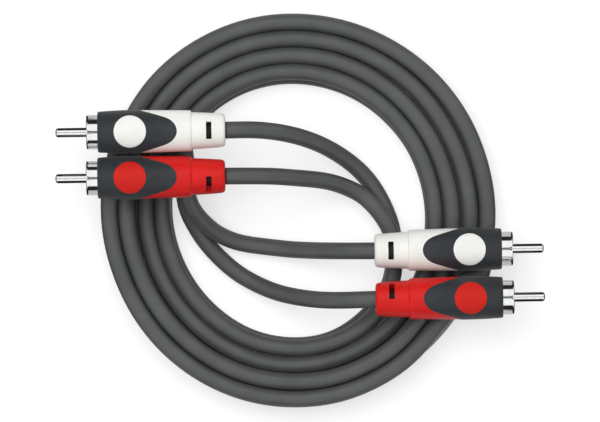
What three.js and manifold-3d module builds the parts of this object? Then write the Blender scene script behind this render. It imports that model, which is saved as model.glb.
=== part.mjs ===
// Stereo audio cable with phono plugs: two jacketed cords joined side by side, a white and a red
// moulded plug on the two cords at each end, lying in a flat coil. Millimetres, +Z up, origin at the
// middle of the coil on the surface that it lies on, +X towards the tips of the right-hand plugs.
import * as THREE from 'three';
import { mergeVertices } from 'three/addons/utils/BufferGeometryUtils.js';
import Module from 'manifold-3d';

const wasm = await Module();
wasm.setup();

// Clearance between pieces that seat in, on or against one another
const gap = 0.3;

// Twin cord and its coil
const cordDiameter = 6;
const cordPitch = 6.3;
const coilInnerRadius = 44;
const coilOuterRadius = 68.3;
const coilEdge = 1.5;
const coilSegments = 60;
const tubeSides = 10;

// Plug sizes along its axis are counted from the grip's front face, forwards to the pin's tip
const pinRadius = 1.6;
const pinReachPastShell = 10.7;
const pinNose = 1.3;
const pinCollarRadius = 2.4;
const pinCollarLength = 0.7;
const pinTailRadius = 1.3;
const pinTailLength = 3.4;
const pinCupDepth = 3;

const shellReach = 3.9;
const shellBoreRadius = 4.15;
const shellLip = 0.7;
const shellFloorDepth = 4.3;
const shellFloorThickness = 1.2;
const shellSlotWidth = 0.8;
const shellSlotDepth = 5.2;

const insulatorThickness = 1.7;
const insulatorNeckRadius = 2.7;

const lugThickness = 0.8;
const lugStrapWidth = 2.4;
const lugStrapThickness = 0.6;
const crimpLength = 4;
const crimpWall = 0.6;

const mouldLength = 16.1;

const conductorRadius = 0.5;
const dielectricRadius = 1.5;
const conductorBare = 4.7;

const gripRadius = 7.5;
const gripWall = 1.27;
const gripFrontStep = 0.4;
const gripFrontRound = 0.6;
const gripSwellStart = 9;
const gripSwellEnd = 18;
const gripRingLength = 14.7;
const tongueShoulder = 24.5;
const tongueShoulderHalfWidth = 4.7;
const tongueLength = 27.7;

const boreWall = 0.73;
const bootShoulder = 32.3;
const bootShoulderStep = 0.3;
const bootStep = 0.5;
const tailLength = 11.4;
const tailFrontRadius = 6.35;
const tailRearRadius = 5.7;
const tailRound = 1;
const crimpPocketSlack = 0.5;

const slotSetback = 38.5;
const slotWidth = 1.9;
const slotLength = 6.2;

const badgeSetback = 11.25;
const badgeRadius = 5.7;
const badgeProud = 0.1;

// Segments round the plug's outside and its inner pieces
const outerSegments = 24;
const innerSegments = 12;

// Sizes that follow from those above
const cordRadius = cordDiameter / 2;
const coilHeight = cordDiameter + cordPitch;
const gripBoreRadius = gripRadius - gripWall;
const gripFrontRadius = gripRadius - gripFrontStep;
const shellOuterRadius = gripBoreRadius - gap;
const shellRear = shellFloorDepth + shellFloorThickness;
const insulatorFront = shellFloorDepth - gap - insulatorThickness;
const lugFront = shellRear + gap;
const lugRear = lugFront + lugThickness;
const pinCollarFront = lugRear + gap;
const pinTailFront = pinCollarFront + pinCollarLength;
const pinRear = pinTailFront + pinTailLength;
const mouldRear = pinCollarFront + mouldLength;
const conductorFront = pinRear - pinCupDepth + gap;
const dielectricFront = conductorFront + conductorBare;
const coreRear = mouldRear + 5 * gap;
const jacketFront = coreRear + gap;
const crimpFront = jacketFront + 2 * gap;
const crimpRear = crimpFront + crimpLength;
const mouldBoreRadius = shellOuterRadius - boreWall;
const mouldRadius = mouldBoreRadius - gap;
const cordBoreRadius = cordRadius + gap;
const bootShoulderRadius = gripRadius - bootShoulderStep;
const bootRear = bootShoulder + bootStep + tailLength;

// Heights of the plug axes: one lies on the coil, one on a cord above it, two on the cord on edge
const onCoil = coilHeight + gap + gripRadius;
const onTopTurn = onCoil + cordDiameter + gap;
const onStandingTurn = onCoil + coilHeight + gap;

// Each end's two plugs lie side by side: the line between them and the space between their grips
const leftPairMiddle = 19.15;
const leftPairSpace = 0.9;
const rightPairMiddle = -21.7;
const rightPairSpace = 1.8;
const leftAside = gripRadius + leftPairSpace / 2;
const rightAside = gripRadius + rightPairSpace / 2;

// Each plug: its grip's front face in plan, its axis's height, its turn about Z, its slots' turn
const plugs = [
  {
    name: 'left_white',
    at: [-70.2, leftPairMiddle + leftAside, onStandingTurn],
    yaw: 180.9,
    slotTurn: 0,
    colour: 'white',
  },
  {
    name: 'left_red',
    at: [-70.2, leftPairMiddle - leftAside, onStandingTurn],
    yaw: 180.9,
    slotTurn: 26,
    colour: 'red',
  },
  {
    name: 'right_white',
    at: [69.9, rightPairMiddle + rightAside, onCoil],
    yaw: 0.9,
    slotTurn: 0,
    colour: 'white',
  },
  {
    name: 'right_red',
    at: [70.2, rightPairMiddle - rightAside, onTopTurn],
    yaw: 0.9,
    slotTurn: 31,
    colour: 'red',
  },
];

// Route of the twin cord's middle: x, y, z and its lean in degrees, where 0 stands it on edge with
// the white plugs' cord below, 90 lays it flat with that cord on its left and 180 has it on top
const leftTwin = [
  [24.7, 4.4, 5.35, 42],
  [27.1, 1.6, 5.75, 30],
  [29.2, -1.2, 6.0, 18],
  [31.1, -5.4, 6.15, 5],
  [32.2, -13.8, 6.15, 0],
  [31.6, -24.3, 6.15, 0],
];
// The flat turn on top of the coil's two outer bands: its angle about the coil and its radius
const topTurn = [
  [-43, 59.7],
  [-59, 60.6],
  [-75, 61.6],
  [-91, 62.3],
  [-107, 62.8],
  [-123, 63.0],
  [-139, 63.0],
  [-155, 63.1],
  [-171, 63.2],
];
const topTurnHeight = 15.6;
const rightTwin = [
  ...topTurn.map(([angle, radius]) => [...polar(radius, angle), topTurnHeight, 90]),
  [-63.8, 1.5, 15.95, 96],
  [-63.9, 9.4, 17.2, 120],
  [-63.9, 17.1, 18.3, 148],
  [-62.6, 25.2, 18.6, 160],
  [-57.6, 30.2, 18.7, 168],
  [-50.4, 31.1, 18.75, 175],
  [-43.6, 27.1, 18.75, 180],
  [-41.0, 19.4, 18.75, 180],
  [-40.6, 12.6, 18.75, 179],
  [-40.1, 7.4, 18.2, 176],
  [-39.3, 3.0, 16.1, 168],
  [-37.1, -1.2, 12.9, 152],
  [-35.2, -4.0, 10.3, 138],
  [-32.9, -6.8, 7.9, 124],
];

// Routes of the single cords from each plug to the fork, given from the plug
const leads = {
  left_white: [
    [-16.9, 28.2, 31.1],
    [-8.5, 27.5, 26.9],
    [-0.2, 25.6, 20.8],
    [8.2, 22.3, 14.0],
    [13.8, 19.0, 9.6],
    [19.3, 14.6, 5.6],
    [22.6, 11.4, 3.8],
  ],
  left_red: [
    [-16.9, 11.95, 31.1],
    [-8.5, 11.85, 26.8],
    [-0.2, 11.2, 20.7],
    [8.2, 10.5, 14.6],
    [13.8, 9.1, 11.0],
    [19.3, 6.5, 8.4],
  ],
  right_white: [
    [13.8, -14.05, 16.7],
    [2.6, -13.9, 9.9],
    [-5.7, -13.4, 6.1],
    [-11.3, -12.7, 4.5],
    [-16.9, -12.0, 4.1],
    [-22.5, -10.8, 5.4],
    [-28.0, -8.1, 8.2],
  ],
  right_red: [
    [13.8, -31.2, 23.7],
    [5.4, -31.0, 18.8],
    [-0.2, -30.3, 14.8],
    [-5.7, -29.3, 10.8],
    [-11.3, -27.5, 7.0],
    [-16.9, -24.9, 4.4],
    [-22.5, -21.6, 3.2],
    [-26.9, -17.9, 3.0],
    [-32.1, -12.4, 4.1],
  ],
};
const straightPastBoot = 2.3;

const colours = {
  white: 0xf0f1ec,
  red: 0xd62024,
  grip: 0x2f3337,
  cord: 0x55585a,
  steel: 0xd8dadc,
  brass: 0xc9a646,
  copper: 0xb87333,
  natural: 0xe6e2d6,
};

const group = new THREE.Group();

function polar(radius, degrees) {
  const angle = THREE.MathUtils.degToRad(degrees);
  return [radius * Math.cos(angle), radius * Math.sin(angle)];
}

function material(colour, roughness, metalness) {
  return new THREE.MeshStandardMaterial({ color: colours[colour], roughness, metalness });
}

// A closed geometry as a solid that can be cut and joined
function solid(geometry) {
  const bare = geometry.clone();
  bare.deleteAttribute('normal');
  bare.deleteAttribute('uv');
  const merged = mergeVertices(bare);
  const corners = merged.index.array;
  const kept = [];
  for (let i = 0; i < corners.length; i += 3) {
    const [a, b, c] = corners.slice(i, i + 3);
    if (a !== b && b !== c && c !== a) kept.push(a, b, c);
  }
  const vertProperties = new Float32Array(merged.attributes.position.array);
  const triVerts = new Uint32Array(kept);
  return new wasm.Manifold(new wasm.Mesh({ numProp: 3, vertProperties, triVerts }));
}

function geometryOf(body) {
  const { vertProperties, triVerts } = body.getMesh();
  const geometry = new THREE.BufferGeometry();
  geometry.setAttribute('position', new THREE.BufferAttribute(vertProperties, 3));
  geometry.setIndex(new THREE.BufferAttribute(triVerts, 1));
  geometry.computeVertexNormals();
  return geometry;
}

// A body of revolution about X. The profile is a list of [distance behind the front face, radius],
// run from the rear forwards along the outside
function spin(profile, segments) {
  const points = profile.map(([behind, radius]) => new THREE.Vector2(radius, -behind));
  return solid(new THREE.LatheGeometry(points, segments).rotateZ(-Math.PI / 2));
}

function ring(front, rear, inner, outer, segments) {
  const profile = [
    [rear, inner],
    [rear, outer],
    [front, outer],
    [front, inner],
    [rear, inner],
  ];
  return spin(profile, segments);
}

function rod(front, rear, radius, segments) {
  return spin([[rear, 0], [rear, radius], [front, radius], [front, 0]], segments);
}

function box(front, rear, width, bottom, top) {
  const block = new THREE.BoxGeometry(rear - front, width, top - bottom);
  return solid(block.translate(-(front + rear) / 2, 0, (bottom + top) / 2));
}

// Points of a quarter round from [behind, radius] at its start to its end, both given by its centre
function roundCorner(behind, radius, round, fromDegrees, toDegrees, steps) {
  const points = [];
  for (let i = 0; i <= steps; i += 1) {
    const [forward, out] = polar(round, fromDegrees + ((toDegrees - fromDegrees) * i) / steps);
    points.push([behind - forward, radius + out]);
  }
  return points;
}

function pinBody() {
  const tip = -(shellReach + pinReachPastShell);
  return spin([
    [pinRear - pinCupDepth, 0],
    [pinRear - pinCupDepth, conductorRadius + gap],
    [pinRear, conductorRadius + gap],
    [pinRear, pinTailRadius],
    [pinTailFront, pinTailRadius],
    [pinTailFront, pinCollarRadius],
    [pinCollarFront, pinCollarRadius],
    [pinCollarFront, pinRadius],
    [tip + pinNose, pinRadius],
    [tip + pinNose * 0.5, pinRadius * 0.87],
    [tip + pinNose * 0.13, pinRadius * 0.5],
    [tip, 0],
  ], innerSegments);
}

function insulatorBody() {
  const bore = pinRadius + gap;
  const seat = shellFloorDepth - gap;
  return spin([
    [lugRear, bore],
    [lugRear, insulatorNeckRadius],
    [seat, insulatorNeckRadius],
    [seat, shellBoreRadius - gap],
    [insulatorFront, shellBoreRadius - gap],
    [insulatorFront, bore],
    [lugRear, bore],
  ], innerSegments);
}

function shellBody() {
  const hole = insulatorNeckRadius + gap;
  const cup = spin([
    [shellRear, hole],
    [shellRear, shellOuterRadius],
    ...roundCorner(-(shellReach - shellLip), shellOuterRadius - shellLip, shellLip, 90, 0, 3),
    [-shellReach, shellBoreRadius + shellLip / 2],
    [-(shellReach - shellLip / 2), shellBoreRadius],
    [shellFloorDepth, shellBoreRadius],
    [shellFloorDepth, hole],
    [shellRear, hole],
  ], outerSegments);
  const slotRear = shellSlotDepth - shellReach;
  const across = box(-shellReach - 1, slotRear, shellSlotWidth, -gripRadius, gripRadius);
  return cup.subtract(across).subtract(across.rotate([90, 0, 0]));
}

function lugBody() {
  const strapBottom = cordBoreRadius;
  const washer = ring(lugFront, lugRear, insulatorNeckRadius + gap, mouldRadius, innerSegments);
  const strap = box(lugFront, crimpFront + crimpLength / 2, lugStrapWidth, strapBottom,
    strapBottom + lugStrapThickness);
  const crimp = ring(crimpFront, crimpRear, cordBoreRadius, cordBoreRadius + crimpWall, innerSegments);
  return washer.add(strap).add(crimp);
}

function coreBody() {
  return spin([
    [coreRear, 0],
    [coreRear, dielectricRadius],
    [dielectricFront, dielectricRadius],
    [dielectricFront, conductorRadius],
    [conductorFront, conductorRadius],
    [conductorFront, 0],
  ], innerSegments / 2);
}

function mouldBody() {
  const pocket = pinCollarRadius + gap;
  const bore = dielectricRadius + gap;
  const block = spin([
    [mouldRear, bore],
    [mouldRear, mouldRadius],
    [pinCollarFront, mouldRadius],
    [pinCollarFront, pocket],
    [pinRear + gap, pocket],
    [pinRear + gap, bore],
    [mouldRear, bore],
  ], innerSegments);
  const strapChannel = box(lugFront, coreRear, lugStrapWidth + 2 * gap, cordBoreRadius - gap, gripRadius);
  return block.subtract(strapChannel);
}

// The plug's whole outside, which the grip and the boot share
function outsideBody() {
  const tailFront = bootShoulder + bootStep;
  return spin([
    [bootRear, 0],
    ...roundCorner(bootRear - tailRound, tailRearRadius - tailRound, tailRound, 180, 90, 3),
    [tailFront, tailFrontRadius],
    [bootShoulder, bootShoulderRadius],
    [gripSwellEnd, gripRadius],
    [gripSwellStart, gripRadius],
    [1, gripFrontRadius],
    ...roundCorner(gripFrontRound, gripFrontRadius - gripFrontRound, gripFrontRound, 60, 0, 2),
    [0, 0],
  ], outerSegments);
}

// The grip's part of the plug seen from above: a full-width ring and a tongue with a round nose
function gripWindow(grow) {
  const wide = gripRadius + 2;
  const outline = new THREE.Shape();
  outline.moveTo(1, wide);
  outline.lineTo(-gripRingLength - grow, wide);
  outline.lineTo(-gripRingLength - grow, gripRadius + grow);
  outline.lineTo(-tongueShoulder, tongueShoulderHalfWidth + grow);
  const nose = tongueLength - tongueShoulder + grow;
  outline.absellipse(-tongueShoulder, 0, nose, tongueShoulderHalfWidth + grow, Math.PI / 2, 1.5 * Math.PI, false);
  outline.lineTo(-gripRingLength - grow, -gripRadius - grow);
  outline.lineTo(-gripRingLength - grow, -wide);
  outline.lineTo(1, -wide);
  const depth = 2 * wide;
  const prism = new THREE.ExtrudeGeometry(outline, { depth, bevelEnabled: false, curveSegments: 6 });
  return solid(prism.translate(0, 0, -wide));
}

// An upright disc through the plug where the badges sit
function badgeDisc(radius) {
  const disc = new THREE.CylinderGeometry(radius, radius, 3 * gripRadius, outerSegments);
  return solid(disc.rotateX(Math.PI / 2).translate(-badgeSetback, 0, 0));
}

function gripBody(outside) {
  const bore = rod(-1, tongueLength + 1, gripBoreRadius, outerSegments);
  return outside.intersect(gripWindow(0)).subtract(bore).subtract(badgeDisc(badgeRadius + gap));
}

function badgeBody(side) {
  const band = ring(0, tongueLength, gripBoreRadius, gripRadius + badgeProud, outerSegments);
  const reach = 2 * gripRadius;
  const half = side > 0 ? box(0, tongueLength, reach, 0, reach) : box(0, tongueLength, reach, -reach, 0);
  return band.intersect(badgeDisc(badgeRadius)).intersect(half);
}

function bootBody(outside, slotTurn) {
  const crimpPocketRear = crimpRear + crimpPocketSlack;
  const shown = outside.subtract(gripWindow(gap)).subtract(rod(-1, gripRingLength + gap, 3 * gripRadius, 8));
  const sleeve = rod(lugFront, crimpPocketRear, shellOuterRadius, outerSegments);
  const mouldBore = rod(0, mouldRear + gap, mouldBoreRadius, innerSegments);
  const crimpPocket = rod(mouldRear, crimpPocketRear, cordBoreRadius + crimpWall + gap, innerSegments);
  const cordBore = rod(mouldRear, bootRear + 1, cordBoreRadius, innerSegments);
  const slot = box(slotSetback - slotWidth / 2, slotSetback + slotWidth / 2, slotLength, -gripRadius, gripRadius);
  return shown.add(sleeve).subtract(mouldBore).subtract(crimpPocket).subtract(cordBore)
    .subtract(slot.rotate([-slotTurn, 0, 0]));
}

function addPlug({ name, at, yaw, slotTurn, colour }) {
  const plug = new THREE.Group();
  plug.position.set(...at);
  plug.rotation.z = THREE.MathUtils.degToRad(yaw);
  const outside = outsideBody();
  const pieces = {
    pin: [pinBody(), material('steel', 0.12, 1)],
    insulator: [insulatorBody(), material('natural', 0.5, 0)],
    ground_shell: [shellBody(), material('steel', 0.15, 1)],
    ground_lug: [lugBody(), material('brass', 0.35, 1)],
    core_wire: [coreBody(), material('copper', 0.4, 0.5)],
    inner_mould: [mouldBody(), material('natural', 0.6, 0)],
    boot: [bootBody(outside, slotTurn), material(colour, 0.5, 0)],
    grip: [gripBody(outside), material('grip', 0.6, 0)],
    badge_top: [badgeBody(1), material(colour, 0.4, 0)],
    badge_bottom: [badgeBody(-1), material(colour, 0.4, 0)],
  };
  for (const [piece, [body, look]] of Object.entries(pieces)) {
    const mesh = new THREE.Mesh(geometryOf(body), look);
    mesh.name = `${name}_${piece}`;
    plug.add(mesh);
  }
  group.add(plug);
}

// A point on a plug's axis, a distance behind its grip's front face
function onPlugAxis({ at, yaw }, behind) {
  const [x, y] = polar(-behind, yaw);
  return new THREE.Vector3(at[0] + x, at[1] + y, at[2]);
}

// A path through given points, with one section of the tube at each
class PointPath extends THREE.Curve {
  constructor(points) {
    super();
    this.points = points;
  }

  getPoint(t, target = new THREE.Vector3()) {
    const last = this.points.length - 1;
    const place = Math.min(Math.max(t, 0), 1) * last;
    const from = Math.min(Math.floor(place), last - 1);
    return target.lerpVectors(this.points[from], this.points[from + 1], place - from);
  }

  getPointAt(u, target) {
    return this.getPoint(u, target);
  }

  getTangentAt(u, target = new THREE.Vector3()) {
    const half = 0.5 / (this.points.length - 1);
    return target.copy(this.getPoint(u + half)).sub(this.getPoint(u - half)).normalize();
  }
}

// One cord of the twin, on the given side of the twin's middle: 1 is the white plugs' cord
function cordOfTwin(rows, side) {
  const middles = rows.map(([x, y, z]) => new THREE.Vector3(x, y, z));
  return rows.map((row, i) => {
    const ahead = middles[Math.min(i + 1, rows.length - 1)];
    const behind = middles[Math.max(i - 1, 0)];
    const along = ahead.clone().sub(behind).normalize();
    const left = new THREE.Vector3(-along.y, along.x, 0).normalize();
    const up = along.cross(left);
    const lean = THREE.MathUtils.degToRad(row[3]);
    const offset = left.multiplyScalar(Math.sin(lean)).addScaledVector(up, -Math.cos(lean));
    return middles[i].clone().addScaledVector(offset, (side * cordPitch) / 2);
  });
}

function tube(points) {
  const section = new THREE.Shape();
  for (let i = 0; i < tubeSides; i += 1) {
    const [x, y] = polar(cordRadius, (360 * i) / tubeSides);
    if (i === 0) section.moveTo(x, y);
    else section.lineTo(x, y);
  }
  const options = { steps: points.length - 1, extrudePath: new PointPath(points), bevelEnabled: false };
  return solid(new THREE.ExtrudeGeometry(section, options));
}

function addCord(plug, twinPoints) {
  const lead = leads[plug.name].map((point) => new THREE.Vector3(...point));
  const fromPlug = [onPlugAxis(plug, jacketFront), onPlugAxis(plug, bootRear + straightPastBoot), ...lead];
  const mesh = new THREE.Mesh(geometryOf(tube([...fromPlug, ...twinPoints])), material('cord', 0.55, 0));
  mesh.name = `${plug.name}_cord`;
  group.add(mesh);
}

// The coil's turns as one closed ring
function addCoil() {
  const profile = [
    [coilInnerRadius + coilEdge, 0],
    [coilOuterRadius - coilEdge, 0],
    [coilOuterRadius, coilEdge],
    [coilOuterRadius, coilHeight - coilEdge],
    [coilOuterRadius - coilEdge, coilHeight],
    [coilInnerRadius + coilEdge, coilHeight],
    [coilInnerRadius, coilHeight - coilEdge],
    [coilInnerRadius, coilEdge],
    [coilInnerRadius + coilEdge, 0],
  ];
  const points = profile.map(([radius, height]) => new THREE.Vector2(radius, height));
  const turned = new THREE.LatheGeometry(points, coilSegments).rotateX(Math.PI / 2);
  const mesh = new THREE.Mesh(geometryOf(solid(turned)), material('cord', 0.55, 0));
  mesh.name = 'cord_coil';
  group.add(mesh);
}

plugs.forEach(addPlug);
const [leftWhite, leftRed, rightWhite, rightRed] = plugs;
addCord(leftWhite, cordOfTwin(leftTwin, 1));
addCord(leftRed, cordOfTwin(leftTwin, -1));
addCord(rightWhite, cordOfTwin(rightTwin, 1).reverse());
addCord(rightRed, cordOfTwin(rightTwin, -1).reverse());
addCoil();

export default group;
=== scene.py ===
import math

import bmesh
import bpy
import numpy as np
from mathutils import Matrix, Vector


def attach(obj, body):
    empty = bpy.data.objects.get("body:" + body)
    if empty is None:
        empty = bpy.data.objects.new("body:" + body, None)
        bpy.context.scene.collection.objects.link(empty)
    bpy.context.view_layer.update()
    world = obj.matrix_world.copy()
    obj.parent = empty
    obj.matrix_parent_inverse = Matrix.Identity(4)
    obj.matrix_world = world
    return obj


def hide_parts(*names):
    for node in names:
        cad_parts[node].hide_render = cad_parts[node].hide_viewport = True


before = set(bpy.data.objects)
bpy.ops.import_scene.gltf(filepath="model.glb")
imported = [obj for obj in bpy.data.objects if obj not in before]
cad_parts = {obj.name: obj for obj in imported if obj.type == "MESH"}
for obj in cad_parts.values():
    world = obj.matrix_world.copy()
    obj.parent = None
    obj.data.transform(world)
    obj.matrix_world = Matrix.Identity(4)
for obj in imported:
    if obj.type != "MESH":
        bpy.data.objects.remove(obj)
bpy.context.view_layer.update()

scene = bpy.context.scene
scene.view_settings.view_transform = "Standard"
# Sizes and places are in millimetres, and times mm they are the metres that Blender takes
mm = 0.001


# Camera: the cable lies flat and is seen from straight above, through a long lens 3 m up, so
# that the plugs on top of the coil look hardly larger than those that lie lower.
overhead = bpy.data.cameras.new("overhead")
overhead.sensor_width = 36
overhead.lens = 514.5
overhead.clip_end = 20
camera = bpy.data.objects.new("overhead", overhead)
coil_centre = -0.17
camera.location = (coil_centre * mm, coil_centre * mm, 3.0)
scene.collection.objects.link(camera)
scene.camera = camera


# The twin cord: two round cords in soft grey PVC jackets, extruded side by side with a thin web
# between them and pulled apart near the plugs. It stands on edge in a flat coil of four turns,
# then lies flat on the two outer ones, turns back under the left plugs and comes down inside.
cord_diameter = 5.9
cord_pitch = 6.0
web_thickness = 0.9
web_offset = 1.1
web_overlap = 0.05
# The jackets' rings of points are this far apart, and the coil's radii are worked out in steps
# of about so many degrees
ring_spacing = 2.5
coil_spacing = 6
# Each plug: the middle of its grip's front face, its way round from +X and the turn of its slot,
# both in degrees, and its colour
plugs = {
    "left_white": {"at": (-70.2, 27.1, 32.7), "yaw": 180.9, "slot_turn": 0, "colour": "white"},
    "left_red": {"at": (-70.2, 11.2, 32.7), "yaw": 180.9, "slot_turn": 31, "colour": "red"},
    "right_white": {"at": (69.9, -13.3, 20.1), "yaw": 0.9, "slot_turn": 0, "colour": "white"},
    "right_red": {"at": (70.2, -30.1, 26.4), "yaw": 0.9, "slot_turn": 31, "colour": "red"},
}
# How far behind that face the cord starts inside the boot, and how far the boot reaches
cord_start = 24.8
boot_rear = 44.2
# Rows of the twin's middle: x, y, z and its lean, where 0 is on edge with the white plugs' cord
# below, 90 is flat with that cord on its left and 180 is on edge with that cord on top
from_left_fork = [
    (24.7, 5.6, 5.05, 45), (27.5, 1.9, 5.55, 29), (30.4, -2.9, 5.85, 15), (32.5, -7.6, 5.95, 4),
    (33.0, -13.8, 5.95, 0), (32.2, -24.0, 5.95, -3), (29.4, -31.2, 5.9, -10), (26.2, -35.2, 5.8, -16),
]
# The coil at angles in degrees, clockwise from the lower right: the lean of the innermost turn,
# which shows its lower cord on the inside, and the radii of the turns as they follow each other
coil_radii = {
    -60: (-16, 44.9, 52.0, 57.9, 63.75),
    -75: (-9, 46.75, 53.1, 58.95, 64.85),
    -90: (-8, 47.6, 54.1, 59.95, 65.75),
    -110: (-8, 48.1, 54.55, 60.4, 66.2),
    -130: (-9, 47.75, 54.15, 60.2, 66.2),
    -155: (-8, 47.55, 54.0, 60.1, 66.1),
    -180: (-5, 47.95, 54.1, 60.2, 66.2),
    -205: (-6, 48.9, 54.95, 60.9, 66.9),
    -225: (-8, 49.3, 55.6, 61.5, 67.4),
    -240: (-9, 49.05, 55.35, 61.25, 67.1),
    -255: (-12, 48.7, 55.1, 60.95, 66.8),
    -270: (-12, 48.0, 54.4, 60.25, 66.1),
    -285: (-11, 47.25, 53.7, 59.65, 65.55),
    -300: (-9, 46.7, 52.95, 59.2, 65.15),
    -315: (-6, 46.2, 52.4, 58.95, 65.05),
    -330: (-4, 46.2, 52.3, 58.6, 65.0),
    -345: (-3, 46.25, 52.4, 58.8, 65.05),
    -360: (-4, 46.85, 53.25, 59.55, 65.5),
    -380: (-3, 48.2, 54.35, 60.45, None),
    -400: (-1, 50.0, 56.05, 62.1, None),
}
coil_middle_height = 5.95
# Rows of angle, radius, z and lean, and then of angle and radius
climb = [
    (-12, 65.9, 6.6, 3), (-17.5, 66.4, 8.8, 16), (-22.5, 65.8, 11.6, 38), (-27, 63.0, 14.0, 65),
    (-32, 59.7, 15.2, 90), (-37, 58.4, 15.2, 96),
]
top_turn = [
    (-43, 59.1), (-51, 60.3), (-59, 61.0), (-75, 62.1), (-91, 62.6), (-107, 63.05), (-123, 63.15),
    (-139, 63.15), (-155, 63.05), (-171, 63.35),
]
top_turn_height = 14.95
to_right_fork = [
    (-63.8, 1.5, 15.3, 98), (-63.95, 10.0, 17.0, 136), (-63.9, 19.15, 18.4, 172),
    (-62.2, 25.4, 18.6, 179), (-57.7, 29.9, 18.6, 180), (-51.45, 31.6, 18.6, 180),
    (-45.4, 29.9, 18.6, 180), (-41.1, 25.4, 18.6, 180), (-39.6, 19.15, 18.6, 180),
    (-39.7, 13.0, 18.6, 178),
    (-40.3, 7.4, 18.0, 174), (-39.8, 3.0, 16.1, 167), (-37.7, -1.2, 12.9, 158),
    (-35.2, -4.8, 9.9, 148), (-32.6, -7.9, 7.7, 132),
]
# Single cords from each plug to its fork
leads = {
    "left_white": [
        (-16.9, 28.0, 31.1), (-8.5, 27.3, 26.9), (-0.2, 25.6, 20.8), (8.4, 22.4, 14.0),
        (14.4, 18.9, 9.3), (19.6, 15.0, 5.6), (23.5, 11.1, 3.4),
    ],
    "left_red": [
        (-16.9, 11.95, 31.1), (-8.5, 11.85, 26.8), (-0.2, 11.2, 20.7), (8.2, 10.45, 14.6),
        (13.8, 9.0, 11.0), (19.3, 6.65, 8.4),
    ],
    "right_white": [
        (13.8, -14.05, 16.7), (2.6, -13.9, 9.9), (-5.7, -13.4, 6.1), (-11.3, -12.7, 4.5),
        (-16.9, -12.1, 4.1), (-22.5, -11.1, 5.3), (-28.2, -8.5, 8.0),
    ],
    "right_red": [
        (13.8, -31.2, 23.7), (5.4, -31.0, 18.8), (-0.2, -30.3, 14.8), (-5.7, -29.3, 10.8),
        (-11.3, -27.5, 7.0), (-16.9, -24.9, 4.4), (-22.5, -21.6, 3.2), (-26.9, -17.9, 3.0),
        (-32.1, -12.4, 4.1),
    ],
}
straight_past_boot = 2.3


def round_coil(radius, degrees, *rest):
    """A row of the twin's middle at a radius and an angle from the coil's middle."""
    angle = math.radians(degrees)
    return (coil_centre + radius * math.cos(angle), coil_centre + radius * math.sin(angle), *rest)


def unit(vectors):
    """The vectors, each made one long."""
    return vectors / np.linalg.norm(vectors, axis=-1, keepdims=True)


def smooth_stretches(rows, spacing):
    """One smooth curve through the rows, as a list with the points of each stretch between two."""
    rows = np.array(rows, float)
    rows = np.vstack([2 * rows[0] - rows[1], rows, 2 * rows[-1] - rows[-2]])
    stretches = []
    for four in zip(rows, rows[1:], rows[2:], rows[3:]):
        steps = [math.sqrt(np.linalg.norm(b[:3] - a[:3])) for a, b in zip(four, four[1:])]
        t = np.concatenate([[0], np.cumsum(steps)])
        count = max(2, round(steps[1] ** 2 / spacing))
        blends = [(row, t[i], t[i]) for i, row in enumerate(four)]
        at = np.linspace(t[1], t[2], count, endpoint=False)[:, None]
        while len(blends) > 1:
            blends = [
                ((a * (last - at) + b * (at - first)) / (last - first), first, last)
                for (a, first, _), (b, _, last) in zip(blends, blends[1:])
            ]
        stretches.append(blends[0][0])
    return stretches


def smooth_rows(rows, spacing):
    """One smooth curve through the rows, with points about the spacing apart."""
    return np.vstack(smooth_stretches(rows, spacing) + [np.array(rows[-1], float)])


def eased(rows):
    """The rows with their small corners smoothed away and both ends kept."""
    for _ in range(3):
        rows = np.vstack([rows[:1], (rows[:-2] + 2 * rows[1:-1] + rows[2:]) / 4, rows[-1:]])
    return rows


def on_axis(plug, behind):
    """A point on the plug's axis, a distance behind its grip's front face."""
    yaw = math.radians(plug["yaw"])
    x, y, z = plug["at"]
    return (x - behind * math.cos(yaw), y - behind * math.sin(yaw), z)


def lead_to_fork(name, twin_cord):
    """The single cord from inside the plug to the first point of its cord in the twin."""
    plug = plugs[name]
    points = [on_axis(plug, cord_start), on_axis(plug, boot_rear + straight_past_boot), *leads[name]]
    through = points + [tuple(twin_cord[i]) for i in (0, 2, 4)]
    return np.vstack(smooth_stretches(through, ring_spacing)[: len(points)])


def carried(path, way):
    """The way, carried along the path from its first point without a twist."""
    ways = []
    for along in unit(np.gradient(path, axis=0)):
        way = way - along * np.dot(way, along)
        way = way / np.linalg.norm(way)
        ways.append(way)
    return np.array(ways)


def tube_faces(rings, corners):
    """The faces between rings of points that follow each other, each with so many corners."""
    faces = []
    for i in range(rings - 1):
        for k in range(corners):
            after = (k + 1) % corners
            a, b = i * corners, (i + 1) * corners
            faces.append((a + k, a + after, b + after, b + k))
    return faces


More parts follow.
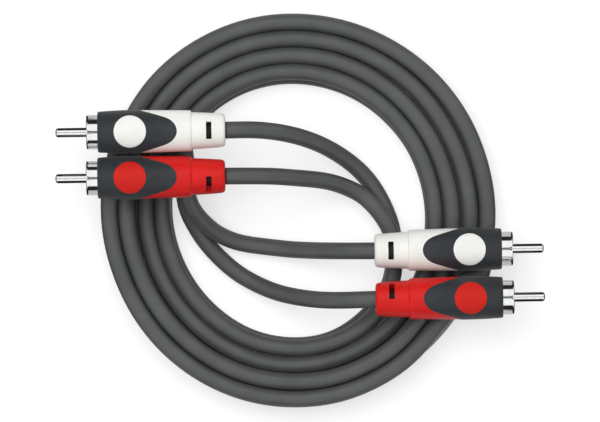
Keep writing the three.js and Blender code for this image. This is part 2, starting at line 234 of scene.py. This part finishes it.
def jacket_mesh(name, path, ways, webbed, hand):
    """A round jacket along the path, with half of the web on its side towards the other cord."""
    radius = cord_diameter / 2
    low = math.degrees(math.asin((web_offset - web_thickness / 2) / radius))
    high = math.degrees(math.asin((web_offset + web_thickness / 2) / radius))
    third = (high - low) / 3
    angles = [low + third, high - third, high, *np.linspace(high + 17, low + 343, 17), low]
    angles = hand * np.radians(angles)
    bare = radius * np.stack([np.cos(angles), np.sin(angles)], axis=1)
    with_web = bare.copy()
    with_web[:2, 0] = cord_pitch / 2 + web_overlap
    with_web[:2, 1] = hand * (web_offset - web_thickness / 2), hand * (web_offset + web_thickness / 2)
    along = unit(np.gradient(path, axis=0))
    ways = unit(ways - along * np.sum(ways * along, axis=1, keepdims=True))
    sides = np.cross(along, ways)
    section = bare + webbed[:, None, None] * (with_web - bare)
    rings = path[:, None] + section[..., :1] * ways[:, None] + section[..., 1:] * sides[:, None]
    count, corners = rings.shape[:2]
    faces = tube_faces(count, corners)
    faces.append(tuple(reversed(range(corners))))
    faces.append(tuple(range((count - 1) * corners, count * corners)))
    mesh = bpy.data.meshes.new(name)
    mesh.from_pydata((rings.reshape(-1, 3) * mm).tolist(), [], faces)
    mesh.shade_smooth()
    run = np.concatenate([[0], np.cumsum(np.linalg.norm(np.diff(path, axis=0), axis=1))]) * mm
    places = mesh.uv_layers.new(name="run").data
    for face in mesh.polygons[:-2]:
        i, k = divmod(face.index, corners)
        corner_places = ((i, k), (i, k + 1), (i + 1, k + 1), (i + 1, k))
        for loop, (row, column) in zip(face.loop_indices, corner_places):
            places[loop].uv = (run[row], column / corners)
    # The stretches inside the boots take the jacket's second material, the painted shade
    boot_reach = (boot_rear - cord_start - 1) * mm
    for face in mesh.polygons:
        i = face.index // corners
        if i >= count - 1 or not boot_reach < run[i] < run[-1] - boot_reach:
            face.material_index = 1
    if hand < 0:
        mesh.flip_normals()
    return mesh


def srgb(red, green, blue):
    """A colour written as a picture's levels, in linear light."""
    levels = np.array([red, green, blue]) / 255
    linear = np.where(levels <= 0.04045, levels / 12.92, ((levels + 0.055) / 1.055) ** 2.4)
    return (*linear.tolist(), 1.0)


def new_finish(name):
    """A material that is still plain, and its shader."""
    finish = bpy.data.materials.new(name)
    finish.use_nodes = True
    return finish, finish.node_tree.nodes["Principled BSDF"]


def grain(finish, scale, detail, stretch=None, coordinates="Object"):
    """A noise over the surface: scale is the number of its lumps to the metre."""
    nodes, links = finish.node_tree.nodes, finish.node_tree.links
    place = nodes.new("ShaderNodeTexCoord")
    texture = nodes.new("ShaderNodeTexNoise")
    texture.inputs["Scale"].default_value = scale
    texture.inputs["Detail"].default_value = detail
    texture.inputs["Roughness"].default_value = 0.55
    source = place.outputs[coordinates]
    if stretch:
        mapping = nodes.new("ShaderNodeMapping")
        mapping.inputs["Scale"].default_value = stretch
        links.new(source, mapping.inputs["Vector"])
        source = mapping.outputs["Vector"]
    links.new(source, texture.inputs["Vector"])
    return texture.outputs["Fac"]


def shades(finish, factor, low, high):
    """Colours from low to high over the middle of the factor's range."""
    ramp = finish.node_tree.nodes.new("ShaderNodeValToRGB")
    for element, position, colour in zip(ramp.color_ramp.elements, (0.3, 0.7), (low, high)):
        element.position = position
        element.color = colour
    finish.node_tree.links.new(factor, ramp.inputs["Fac"])
    return ramp.outputs["Color"]


def levels(finish, factor, low, high, start=0.3, end=0.7):
    """Numbers from low to high as the factor goes from start to end."""
    ranged = finish.node_tree.nodes.new("ShaderNodeMapRange")
    for socket, value in (("From Min", start), ("From Max", end), ("To Min", low), ("To Max", high)):
        ranged.inputs[socket].default_value = value
    finish.node_tree.links.new(factor, ranged.inputs["Value"])
    return ranged.outputs["Result"]


def look(finish, shader, mottle, low, high, roughness, wear=None):
    """Colours that follow the mottle and a roughness that follows the wear, or the mottle too."""
    links = finish.node_tree.links
    links.new(shades(finish, mottle, low, high), shader.inputs["Base Color"])
    links.new(levels(finish, wear or mottle, *roughness), shader.inputs["Roughness"])


def relief(finish, shader, *layers):
    """Bumps from layers of (height, depth in metres), one on top of the other."""
    nodes, links = finish.node_tree.nodes, finish.node_tree.links
    below = None
    for height, depth in layers:
        bump = nodes.new("ShaderNodeBump")
        bump.inputs["Strength"].default_value = 1.0
        bump.inputs["Distance"].default_value = depth
        links.new(height, bump.inputs["Height"])
        if below:
            links.new(below, bump.inputs["Normal"])
        below = bump.outputs["Normal"]
    links.new(below, shader.inputs["Normal"])


# Soft PVC: dark grey, faintly cloudy, drawn out in fine lines along the cord, with a dull skin
cord_jacket, shader = new_finish("cord_jacket")
clouds = grain(cord_jacket, 90, detail=5)
drawn_lines = grain(cord_jacket, 1, detail=3, stretch=(40, 70, 1), coordinates="UV")
skin = grain(cord_jacket, 5200, detail=2)
shader.inputs["Specular IOR Level"].default_value = 0.55
look(cord_jacket, shader, clouds, srgb(68, 71, 70), srgb(78, 81, 79), (0.36, 0.48), wear=drawn_lines)
relief(cord_jacket, shader, (drawn_lines, 0.00004), (skin, 0.00003))
# Where the boots are moulded round it, the jacket is painted dark: painted shade for the inside of the
# boots, seen through their slots
jacket_painted_shade, shader = new_finish("jacket_painted_shade")
painted_shade_mottle = grain(jacket_painted_shade, 400, detail=4)
look(jacket_painted_shade, shader, painted_shade_mottle, srgb(22, 23, 22), srgb(36, 37, 35), (0.6, 0.8))

twin_rows = list(from_left_fork)
coil_turns = [
    (degrees - 360 * turn, radii[turn], 0 if turn else inner_lean)
    for turn in range(4)
    for degrees, (inner_lean, *radii) in coil_radii.items()
    if radii[turn] is not None
]
for degrees, radius, inner_lean in smooth_rows(coil_turns, coil_spacing):
    twin_rows.append(round_coil(radius, degrees, coil_middle_height, inner_lean))
twin_rows += [round_coil(radius, degrees, z, lean) for degrees, radius, z, lean in climb]
twin_rows += [round_coil(radius, degrees, top_turn_height, 90) for degrees, radius in top_turn]
twin_rows += to_right_fork
twin_rows = eased(smooth_rows(twin_rows, ring_spacing))
along = unit(np.gradient(twin_rows[:, :3], axis=0))
left = unit(np.stack([-along[:, 1], along[:, 0], np.zeros(len(along))], axis=1))
lean = np.radians(twin_rows[:, 3:])
to_white = np.sin(lean) * left - np.cos(lean) * np.cross(along, left)
cord_pieces, cord_paths = {}, {}
for colour, way, hand in (("white", -to_white, 1), ("red", to_white, -1)):
    twin_cord = twin_rows[:, :3] - way * cord_pitch / 2
    before = lead_to_fork(f"left_{colour}", twin_cord)
    after = lead_to_fork(f"right_{colour}", twin_cord[::-1])[::-1]
    path = eased(np.vstack([before, twin_cord, after]))
    ways = np.vstack([carried(before[::-1], way[0])[::-1], way, carried(after, way[-1])])
    webbed = np.concatenate([np.zeros(len(before)), np.ones(len(way)), np.zeros(len(after))])
    mesh = jacket_mesh(f"{colour}_plugs_cord", path, ways, webbed, hand)
    mesh.materials.append(cord_jacket)
    mesh.materials.append(jacket_painted_shade)
    cord = bpy.data.objects.new(f"{colour}_plugs_cord", mesh)
    scene.collection.objects.link(cord)
    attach(cord, "root")
    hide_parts(f"left_{colour}_cord", f"right_{colour}_cord", "cord_coil")
    cord_pieces[colour] = cord
    cord_paths[colour] = path * mm


# Centre pin: turned brass, plated bright, with a rounded nose. Its collar sits behind the
# insulator and its hollow tail is soldered to the cord's conductor.
pin_tip = -14.6
pin_radius = 1.6
small_sides = 48
pin_profile = [
    (8.0, 0.0), (8.0, 0.8), (11.0, 0.8), (11.0, 1.3), (7.6, 1.3), (7.6, 2.4), (6.9, 2.4),
    (6.9, pin_radius), (-13.55, pin_radius), (-13.9, 1.54), (-14.2, 1.38), (-14.42, 1.1),
    (-14.55, 0.7), (-14.59, 0.35), (pin_tip, 0.0),
]
# Corners sharper than this stay crisp
crisp_degrees = 38


def turned_mesh(name, profile, sides, turn=0.0):
    """A body turned about the plug's axis: its profile is a list of (distance behind, radius)."""
    mesh = bpy.data.meshes.new(name)
    rows = []
    points = []
    for behind, radius in profile:
        start = len(points)
        count = 1 if radius < 1e-6 else sides
        for k in range(count):
            angle = 2 * math.pi * k / sides + turn
            points.append((-behind * mm, radius * math.sin(angle) * mm, radius * math.cos(angle) * mm))
        rows.append((start, count))
    faces = []
    for (a, a_count), (b, b_count) in zip(rows, rows[1:]):
        for k in range(sides):
            after = (k + 1) % sides
            corners = [a + k % a_count, a + after % a_count, b + after % b_count, b + k % b_count]
            face = list(dict.fromkeys(corners))
            if len(face) > 2:
                faces.append(face)
    mesh.from_pydata(points, [], faces)
    tidy_mesh(mesh, crisp_degrees)
    return mesh


def tidy_mesh(mesh, sharp_degrees):
    """Joins doubled points, turns all faces outwards and keeps the corners crisp."""
    work = bmesh.new()
    work.from_mesh(mesh)
    bmesh.ops.remove_doubles(work, verts=work.verts, dist=2e-7)
    bmesh.ops.recalc_face_normals(work, faces=work.faces)
    work.to_mesh(mesh)
    work.free()
    mesh.shade_smooth()
    mesh.set_sharp_from_angle(angle=math.radians(sharp_degrees))


def fit(name, piece, mesh, finish, node):
    """Puts a copy of the mesh on a plug, in the place of its CAD node."""
    plug = plugs[name]
    own = mesh.copy()
    own.materials.clear()
    own.materials.append(finish)
    fitted = bpy.data.objects.new(f"{name}_{piece}", own)
    fitted.location = Vector(plug["at"]) * mm
    fitted.rotation_euler = (0, 0, math.radians(plug["yaw"]))
    scene.collection.objects.link(fitted)
    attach(fitted, "root")
    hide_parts(f"{name}_{node}")
    plug.setdefault("pieces", []).append(fitted)
    return fitted


# Bright plating: nearly a mirror, with faint turning marks and handling haze
plating, shader = new_finish("bright_plating")
shader.inputs["Metallic"].default_value = 1.0
haze = grain(plating, 700, detail=5)
turning_marks = grain(plating, 1, detail=2, stretch=(9000, 300, 300))
look(plating, shader, haze, srgb(226, 227, 228), srgb(240, 240, 239), (0.05, 0.13))
relief(plating, shader, (turning_marks, 0.000002))

pin_mesh = turned_mesh("centre_pin", pin_profile, small_sides)
for name in plugs:
    fit(name, "centre_pin", pin_mesh, plating, "pin")


# Ground shell: a turned and plated brass cup that goes over the jack. Four saw cuts from its
# rounded mouth make it spring, and the insulator is pressed into its floor.
shell_outer_radius = 5.93
shell_bore_radius = 4.15
shell_floor = 4.3
shell_rear = 5.5
shell_hole_radius = 3.0
shell_reach = 3.9
saw_cut_outline = [
    (-1.3, 0.26), (2.0, 0.26), (2.5, 0.34), (2.95, 0.48), (3.3, 0.66), (3.6, 0.86), (3.9, 1.02),
    (4.5, 1.1),
]
saw_cut_angles = (0, 90)
saw_reach = 7
# The shell and the boot are turned by half a side, so that no corner of theirs falls in the middle
# of a cut
large_sides = 96
half_side = math.pi / large_sides
shell_profile = [
    (shell_rear, shell_hole_radius), (shell_rear, shell_outer_radius),
    (-3.1, shell_outer_radius), (-3.3, shell_outer_radius), (-3.5, 5.91), (-3.66, 5.84),
    (-3.79, 5.7), (-3.87, 5.48), (-shell_reach, 5.2),
    (-shell_reach, 4.62), (-3.84, 4.42), (-3.7, 4.26), (-3.5, 4.17), (-3.2, shell_bore_radius),
    (shell_floor - 0.2, shell_bore_radius), (shell_floor, shell_bore_radius - 0.2),
    (shell_floor, shell_hole_radius), (shell_rear, shell_hole_radius),
]


def cutter_mesh(name, outline, reach):
    """A tool for slots: an outline of (distance forward, half width), the reach up and down."""
    rim = [(x, half) for x, half in outline] + [(x, -half) for x, half in reversed(outline)]
    count = len(rim)
    mesh = bpy.data.meshes.new(name)
    points = [(x * mm, y * mm, z * mm) for z in (-reach, reach) for x, y in rim]
    faces = [tuple(range(count)), tuple(reversed(range(count, 2 * count)))]
    faces += [(k, k + count, (k + 1) % count + count, (k + 1) % count) for k in range(count)]
    mesh.from_pydata(points, [], faces)
    tidy_mesh(mesh, crisp_degrees)
    return mesh


def sawn(mesh, cutter, angles):
    """The mesh less the cutter, turned about the plug's axis to each of the angles."""
    work = bpy.data.objects.new("work", mesh)
    scene.collection.objects.link(work)
    for degrees in angles:
        tool = bpy.data.objects.new("saw", cutter)
        tool.rotation_euler = (math.radians(degrees), 0, 0)
        scene.collection.objects.link(tool)
        modifier = work.modifiers.new("cut", "BOOLEAN")
        modifier.operation = "DIFFERENCE"
        modifier.solver = "EXACT"
        modifier.object = tool
    bpy.context.view_layer.update()
    cut = bpy.data.meshes.new_from_object(work.evaluated_get(bpy.context.evaluated_depsgraph_get()))
    for modifier in list(work.modifiers):
        bpy.data.objects.remove(modifier.object)
    bpy.data.objects.remove(work)
    tidy_mesh(cut, crisp_degrees)
    return cut


saw = cutter_mesh("saw_cut", saw_cut_outline, saw_reach)
shell_blank = turned_mesh("ground_shell", shell_profile, large_sides, turn=half_side)
shell_mesh = sawn(shell_blank, saw, saw_cut_angles)
# The bore's plating is painted dull and dark: painted shade inside the cup
bore_reach = 4.4
bore_painted_shade, shader = new_finish("bore_painted_shade")
shader.inputs["Metallic"].default_value = 1.0
bore_shade_mottle = grain(bore_painted_shade, 900, detail=4)
look(bore_painted_shade, shader, bore_shade_mottle, srgb(52, 51, 49), srgb(76, 75, 72), (0.45, 0.65))
for name in plugs:
    cup = fit(name, "ground_cup", shell_mesh, plating, "ground_shell")
    cup.data.materials.append(bore_painted_shade)
    # The faces of the bore take the painted shade
    for face in cup.data.polygons:
        if math.hypot(face.center.y, face.center.z) < bore_reach * mm:
            face.material_index = 1


# Insulator: a moulded bush of natural white plastic, pressed into the shell's floor round the
# pin. Only its face shows, deep in the shell's mouth.
insulator_profile = [
    (6.6, 1.62), (6.6, 2.7), (4.0, 2.7), (4.0, 3.85), (2.5, 3.85), (2.34, 3.8), (2.3, 3.65),
    (2.3, 3.1), (2.55, 2.95), (2.55, 2.3), (2.3, 2.15), (2.3, 1.75), (2.4, 1.62), (6.6, 1.62),
]
natural_plastic, shader = new_finish("insulator_plastic")
flow = grain(natural_plastic, 450, detail=5)
look(natural_plastic, shader, flow, srgb(222, 219, 207), srgb(236, 234, 224), (0.38, 0.55))
relief(natural_plastic, shader, (grain(natural_plastic, 6000, detail=2), 0.00001))
insulator_mesh = turned_mesh("insulator", insulator_profile, small_sides)
for name in plugs:
    fit(name, "insulator_bush", insulator_mesh, natural_plastic, "insulator")


# Boot: the coloured moulding, in glossy PVC. The grip is moulded over its front half, and its
# narrower tail carries a slot on each side of the cord, so that it bends with it.
boot_below_grip = 0.12
body_outline = [
    (0.6, 7.12), (4.5, 7.34), (9.0, 7.5), (13.5, 7.54), (18.0, 7.48), (25.0, 7.36), (32.3, 7.22),
]
boot_bore_radius = 3.3
slot_front, slot_back = -37.55, -39.45
slot_half_length = 3.1
slot_reach = 9
body_points = smooth_rows([(behind, radius, 0) for behind, radius in body_outline], 0.5)


def body_radius(behind):
    """The radius of the plug's smooth outside, which the grip and the boot share."""
    return float(np.interp(behind, body_points[:, 0], body_points[:, 1]))


boot_profile = [(5.8, 5.2), (5.8, 5.93), (14.2, 5.93)]
boot_profile += [
    (behind, body_radius(behind) - boot_below_grip) for behind in np.linspace(14.2, 31.9, 16)
]
boot_profile += [
    (32.1, 7.07), (32.28, 6.95), (32.42, 6.78), (32.5, 6.6), (32.62, 6.48), (32.85, 6.42), (33.3, 6.4),
    (36.0, 6.27), (39.0, 6.1), (41.5, 5.93), (42.8, 5.8), (43.3, 5.7), (43.7, 5.5), (43.98, 5.2),
    (44.13, 4.8), (44.2, 4.3), (44.2, 3.7), (44.12, 3.45), (43.9, boot_bore_radius),
    (29.9, boot_bore_radius), (29.9, 4.2), (23.3, 4.2), (23.3, 5.2), (5.8, 5.2),
]


def glossy_plastic(name, low, high, roughness):
    """Moulded PVC: an even colour with faint flow marks and a soft gloss, slightly pebbled."""
    finish, shader = new_finish(name)
    shader.inputs["Specular IOR Level"].default_value = 0.25
    look(finish, shader, grain(finish, 160, detail=4), low, high, roughness)
    pebbles = grain(finish, 900, detail=3)
    fine_pebbles = grain(finish, 7000, detail=1)
    relief(finish, shader, (pebbles, 0.00004), (fine_pebbles, 0.000008))
    return finish


boot_finishes = {
    "white": glossy_plastic("white_boot", srgb(232, 233, 227), srgb(240, 241, 236), (0.34, 0.46)),
    "red": glossy_plastic("red_boot", srgb(200, 24, 22), srgb(211, 30, 28), (0.3, 0.42)),
}
slot_outline = [(slot_back, slot_half_length), (slot_front, slot_half_length)]
slot_tool = cutter_mesh("tail_slot", slot_outline, slot_reach)
boot_blank = turned_mesh("boot", boot_profile, large_sides, turn=half_side)
for name, plug in plugs.items():
    boot_mesh = sawn(boot_blank.copy(), slot_tool, [-plug["slot_turn"]])
    finish, slot = boot_finishes[plug["colour"]], f"{plug['colour']}_boot"
    fit(name, "moulded_boot", boot_mesh, finish, "boot")


# Grip: dark soft PVC moulded over the boot's front as a ring, with a tongue along the top and
# one along the underside. Its edges are a little round and stand just proud of the boot.
grip_bore_radius = 6.23
grip_ring_rear = 14.7
grip_front_round = 0.6
tongue_outline = [
    (14.7, 7.54), (17.4, 6.82), (20.4, 5.92), (23.0, 5.08), (24.6, 4.42), (25.8, 3.6), (26.7, 2.62),
    (27.35, 1.4), (27.62, 0.0),
]
tongue_tip_from = 23
tongue_edge_round = 0.4
tongue_skirt = 0.75
tongue_tip_lag = 1.3
grip_sides = 96
soft_degrees = 50


def skin_point(behind, aside, drop, side):
    """A point of the plug's outside, at a distance aside from its axis, on top or underneath."""
    radius = body_radius(behind)
    angle = math.asin(max(-1.0, min(1.0, aside / radius)))
    depth = radius - drop
    return (-behind * mm, depth * math.sin(angle) * mm, side * depth * math.cos(angle) * mm)


def rolled_edge(distance):
    """How far a moulded edge drops, at a distance in from it."""
    return 0.5 * tongue_edge_round * max(0.0, 1 - distance / tongue_edge_round) ** 2


ring_profile = [(13.6, grip_bore_radius), (0.2, grip_bore_radius), (0.0, grip_bore_radius + 0.2)]
for step in range(6, -1, -1):
    sweep = math.radians(step * 15)
    ring_profile.append((
        grip_front_round * (1 - math.sin(sweep)),
        body_radius(0.6) - grip_front_round * (1 - math.cos(sweep)),
    ))
ring_profile += [(behind, body_radius(behind)) for behind in np.linspace(1.4, grip_ring_rear, 15)]

points = []
for behind, radius in ring_profile:
    for k in range(grip_sides):
        angle = 2 * math.pi * k / grip_sides
        points.append((-behind * mm, radius * math.sin(angle) * mm, radius * math.cos(angle) * mm))
faces = tube_faces(len(ring_profile), grip_sides)
columns = np.linspace(-90, 90, grip_sides // 2 + 1)
outline = smooth_rows([(behind, half_width, 0) for behind, half_width in tongue_outline], 0.4)
for side in (1, -1):
    base = len(points)
    for behind, half_width, _ in outline:
        # Rows near the tip bow backwards at their ends, so that they keep to its round outline
        to_tip = (behind - tongue_tip_from) / (tongue_outline[-1][0] - tongue_tip_from)
        lag = tongue_tip_lag * max(0.0, to_tip) ** 2
        fade = min(1.0, behind - grip_ring_rear)
        row = [(behind, -half_width, fade * tongue_skirt)]
        for degrees in columns:
            part = math.sin(math.radians(degrees))
            back = lag * (1 - part ** 2)
            inwards = math.hypot(back, half_width * (1 - abs(part)))
            row.append((behind - back, half_width * part, fade * rolled_edge(inwards)))
        row.append((behind, half_width, fade * tongue_skirt))
        points += [skin_point(*place, side) for place in row]
    wide = len(columns) + 2
    for row in range(len(outline) - 1):
        for k in range(wide - 1):
            a = base + row * wide + k
            faces.append((a, a + 1, a + 1 + wide, a + wide))
grip_mesh = bpy.data.meshes.new("grip")
grip_mesh.from_pydata(points, [], faces)
tidy_mesh(grip_mesh, soft_degrees)

# Soft PVC: near black with a blue cast, matt and finely pebbled by the mould
soft_grip, shader = new_finish("soft_grip")
cast = grain(soft_grip, 220, detail=5)
pebble = grain(soft_grip, 3800, detail=2)
shader.inputs["Specular IOR Level"].default_value = 0.35
shader.inputs["Sheen Weight"].default_value = 0.1
shader.inputs["Sheen Roughness"].default_value = 0.5
look(soft_grip, shader, cast, srgb(36, 39, 43), srgb(45, 48, 52), (0.44, 0.62), wear=pebble)
relief(soft_grip, shader, (pebble, 0.00005))
for name in plugs:
    fit(name, "soft_grip", grip_mesh, soft_grip, "grip")


# Badges: round inlays of the boot's colour in the top and the underside of the grip. They follow
# its curve, are left bare, and have a rolled rim.
badge_behind = 11.25
badge_radius = 5.7
badge_proud = 0.1
badge_rim_depth = 0.6
badge_sides = 64
badge_steps = [0, 1.2, 2.4, 3.5, 4.3, 4.9, 5.3, 5.42, 5.52, 5.6, 5.66, badge_radius]
badge_finishes = {
    "white": glossy_plastic("white_badge", srgb(230, 231, 226), srgb(240, 241, 238), (0.4, 0.55)),
    "red": glossy_plastic("red_badge", srgb(192, 26, 18), srgb(203, 33, 24), (0.36, 0.5)),
}
for side, place in ((1, "top"), (-1, "bottom")):
    points = []
    rows = [(step, rolled_edge(badge_radius - step) - badge_proud) for step in badge_steps]
    rows.append((badge_radius, badge_rim_depth))
    for step, drop in rows:
        for k in range(badge_sides):
            angle = 2 * math.pi * k / badge_sides
            behind, aside = badge_behind + step * math.cos(angle), step * math.sin(angle)
            points.append(skin_point(behind, aside, drop, side))
    badge_mesh = bpy.data.meshes.new(f"badge_{place}")
    badge_mesh.from_pydata(points, [], tube_faces(len(rows), badge_sides))
    tidy_mesh(badge_mesh, soft_degrees)
    for name, plug in plugs.items():
        finish, slot = badge_finishes[plug["colour"]], f"{plug['colour']}_badge"
        fit(name, f"badge_{place}_inlay", badge_mesh, finish, f"badge_{place}")


# Inside the plugs: the brass lug that is crimped on the cord's shield, the copper end of its
# conductor, and the first plastic shot round the soldered joints. Nothing of them shows.
lug_brass, shader = new_finish("lug_brass")
shader.inputs["Metallic"].default_value = 1.0
rolled = grain(lug_brass, 1, detail=3, stretch=(300, 4000, 300))
look(lug_brass, shader, rolled, srgb(176, 142, 70), srgb(204, 172, 92), (0.28, 0.45))
core_copper, shader = new_finish("core_copper")
shader.inputs["Metallic"].default_value = 1.0
strands = grain(core_copper, 1, detail=3, stretch=(400, 6000, 6000))
look(core_copper, shader, strands, srgb(168, 98, 62), srgb(206, 132, 92), (0.3, 0.5))
first_shot, shader = new_finish("first_shot")
milk = grain(first_shot, 300, detail=4)
look(first_shot, shader, milk, srgb(206, 203, 192), srgb(222, 219, 208), (0.45, 0.6))
relief(first_shot, shader, (grain(first_shot, 2500, detail=2), 0.00003))
inside = {"ground_lug": lug_brass, "core_wire": core_copper, "inner_mould": first_shot}
for name in plugs:
    for node, finish in inside.items():
        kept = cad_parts[f"{name}_{node}"]
        if not kept.material_slots:
            kept.data.materials.append(finish)
        for held in kept.material_slots:
            held.material = finish


# Free cords: each cord leaves its left plug's boot, runs through the coil, 1.9 m all told, and is
# moulded into its right plug.
for colour, cord in cord_pieces.items():
    kept = [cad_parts[f"right_{colour}_{node}"] for node in inside]


# Table: a plain pale floor that keeps the cable's soft shadow, and stays dark under the coil, where
# no light gets in. Bright metal sees it as grey, and past the plugs' mouths as a dark sheet.
floor_half = 2.0
floor_drop = 0.0002
floor_mesh = bpy.data.meshes.new("floor")
floor_mesh.from_pydata(
    [(x * floor_half, y * floor_half, -floor_drop) for x, y in ((-1, -1), (1, -1), (1, 1), (-1, 1))],
    [], [(0, 1, 2, 3)])
floor = bpy.data.objects.new("floor", floor_mesh)
scene.collection.objects.link(floor)
# The middle and half width of the dark ring, and how much the open floor shines by itself
under_coil_radius, under_coil_half_width = 56.5, 9.5
lift_strength = 0.6
# How far out the dark sheet starts and is full, and how it flares towards the long sides
sheet_start, sheet_full = 74.2, 74.8
sheet_flare, sheet_round = 0.0245, 30


def worked_out(finish, operation, *values):
    """A number that a maths node makes from numbers and from other nodes' outputs."""
    node = finish.node_tree.nodes.new("ShaderNodeMath")
    node.operation = operation
    for socket, value in zip(node.inputs, values):
        if isinstance(value, bpy.types.NodeSocket):
            finish.node_tree.links.new(value, socket)
        else:
            socket.default_value = value
    return node.outputs["Value"]


def lengthwise(finish, vector):
    """The length of a vector."""
    node = finish.node_tree.nodes.new("ShaderNodeVectorMath")
    node.operation = "LENGTH"
    finish.node_tree.links.new(vector, node.inputs[0])
    return node.outputs["Value"]


def by_ray(finish, is_kind, others, kind):
    """One shader for a kind of ray, and another shader for all others."""
    mix = finish.node_tree.nodes.new("ShaderNodeMixShader")
    for socket, source in zip(mix.inputs, (is_kind, others, kind)):
        finish.node_tree.links.new(source, socket)
    return mix.outputs["Shader"]


pale_table, shader = new_finish("pale_table")
shader.inputs["Base Color"].default_value = (0.93, 0.93, 0.93, 1)
shader.inputs["Roughness"].default_value = 0.9
shader.inputs["Specular IOR Level"].default_value = 0.0
nodes, links = pale_table.node_tree.nodes, pale_table.node_tree.links
rays = nodes.new("ShaderNodeLightPath")
seat = nodes.new("ShaderNodeTexCoord").outputs["Object"]
from_middle = lengthwise(pale_table, seat)
under_coil = worked_out(
    pale_table, "COMPARE", from_middle, under_coil_radius * mm, under_coil_half_width * mm)
lift = nodes.new("ShaderNodeEmission")
open_floor = worked_out(pale_table, "MULTIPLY_ADD", under_coil, -lift_strength, lift_strength)
links.new(open_floor, lift.inputs["Strength"])
shaded = nodes.new("ShaderNodeBsdfDiffuse")
shaded.inputs["Color"].default_value = (0.48, 0.48, 0.48, 1)
lifted = nodes.new("ShaderNodeAddShader")
links.new(shaded.outputs["BSDF"], lifted.inputs[0])
links.new(lift.outputs["Emission"], lifted.inputs[1])
beside = nodes.new("ShaderNodeSeparateXYZ")
links.new(seat, beside.inputs["Vector"])
reach = nodes.new("ShaderNodeCombineXYZ")
reach.inputs["X"].default_value = sheet_round * mm
links.new(beside.outputs["Y"], reach.inputs["Y"])
spread = lengthwise(pale_table, reach.outputs["Vector"])
away = worked_out(pale_table, "ABSOLUTE", beside.outputs["X"])
past_shell = worked_out(pale_table, "MULTIPLY_ADD", spread, -sheet_flare, away)
reflected = nodes.new("ShaderNodeEmission")
dark_sheet = levels(pale_table, past_shell, 0.6, 0.02, sheet_start * mm, sheet_full * mm)
links.new(dark_sheet, reflected.inputs["Strength"])
plain = shader.outputs["BSDF"]
seen = by_ray(pale_table, rays.outputs["Is Camera Ray"], plain, lifted.outputs["Shader"])
whole = by_ray(pale_table, rays.outputs["Is Glossy Ray"], seen, reflected.outputs["Emission"])
links.new(whole, nodes["Material Output"].inputs["Surface"])
floor_mesh.materials.append(pale_table)


# Light: an even white tent with dark cards low on its sides and a thin one overhead, which draw
# the black lines along the bright metal, and one wide soft lamp above. The camera sees it white.
tent = bpy.data.worlds.new("tent")
scene.world = tent
tent.use_nodes = True
nodes, links = tent.node_tree.nodes, tent.node_tree.links
nodes.clear()
place = nodes.new("ShaderNodeTexCoord")
ways = nodes.new("ShaderNodeSeparateXYZ")
links.new(place.outputs["Generated"], ways.inputs["Vector"])


def card(axis, start, end, inside, outside):
    """The tent's strength as a way's share along the axis goes from start to end, and past it."""
    return levels(tent, worked_out(tent, "ABSOLUTE", ways.outputs[axis]), inside, outside, start, end)


def cloth(strength):
    """White cloth of a strength, which is a number or a node's output."""
    node = nodes.new("ShaderNodeBackground")
    node.inputs["Color"].default_value = (1, 1, 1, 1)
    if isinstance(strength, bpy.types.NodeSocket):
        links.new(strength, node.inputs["Strength"])
    else:
        node.inputs["Strength"].default_value = strength
    return node.outputs["Background"]


long_sides = card("Y", 0.79, 0.86, 1.1, 0.02)
short_sides = card("X", 0.955, 0.97, 1.0, 0.02)
overhead_strip = card("Y", 0.12, 0.18, 0.42, 1.0)
side_cards = worked_out(tent, "MULTIPLY", long_sides, short_sides)
cards = worked_out(tent, "MULTIPLY", side_cards, overhead_strip)
rays = nodes.new("ShaderNodeLightPath")
around = by_ray(tent, rays.outputs["Is Glossy Ray"], cloth(0.38), cloth(cards))
whole = by_ray(tent, rays.outputs["Is Camera Ray"], around, cloth(1.0))
output = nodes.new("ShaderNodeOutputWorld")
links.new(whole, output.inputs["Surface"])
soft_lamp = bpy.data.lights.new("soft_lamp", "AREA")
soft_lamp.size = 1.2
soft_lamp.energy = 19.5
lamp = bpy.data.objects.new("soft_lamp", soft_lamp)
lamp.location = (-0.2, 0.3, 1.5)
lamp.rotation_euler = (Vector((0, 0, 0)) - lamp.location).to_track_quat("-Z", "Y").to_euler()
lamp.visible_glossy = False
scene.collection.objects.link(lamp)
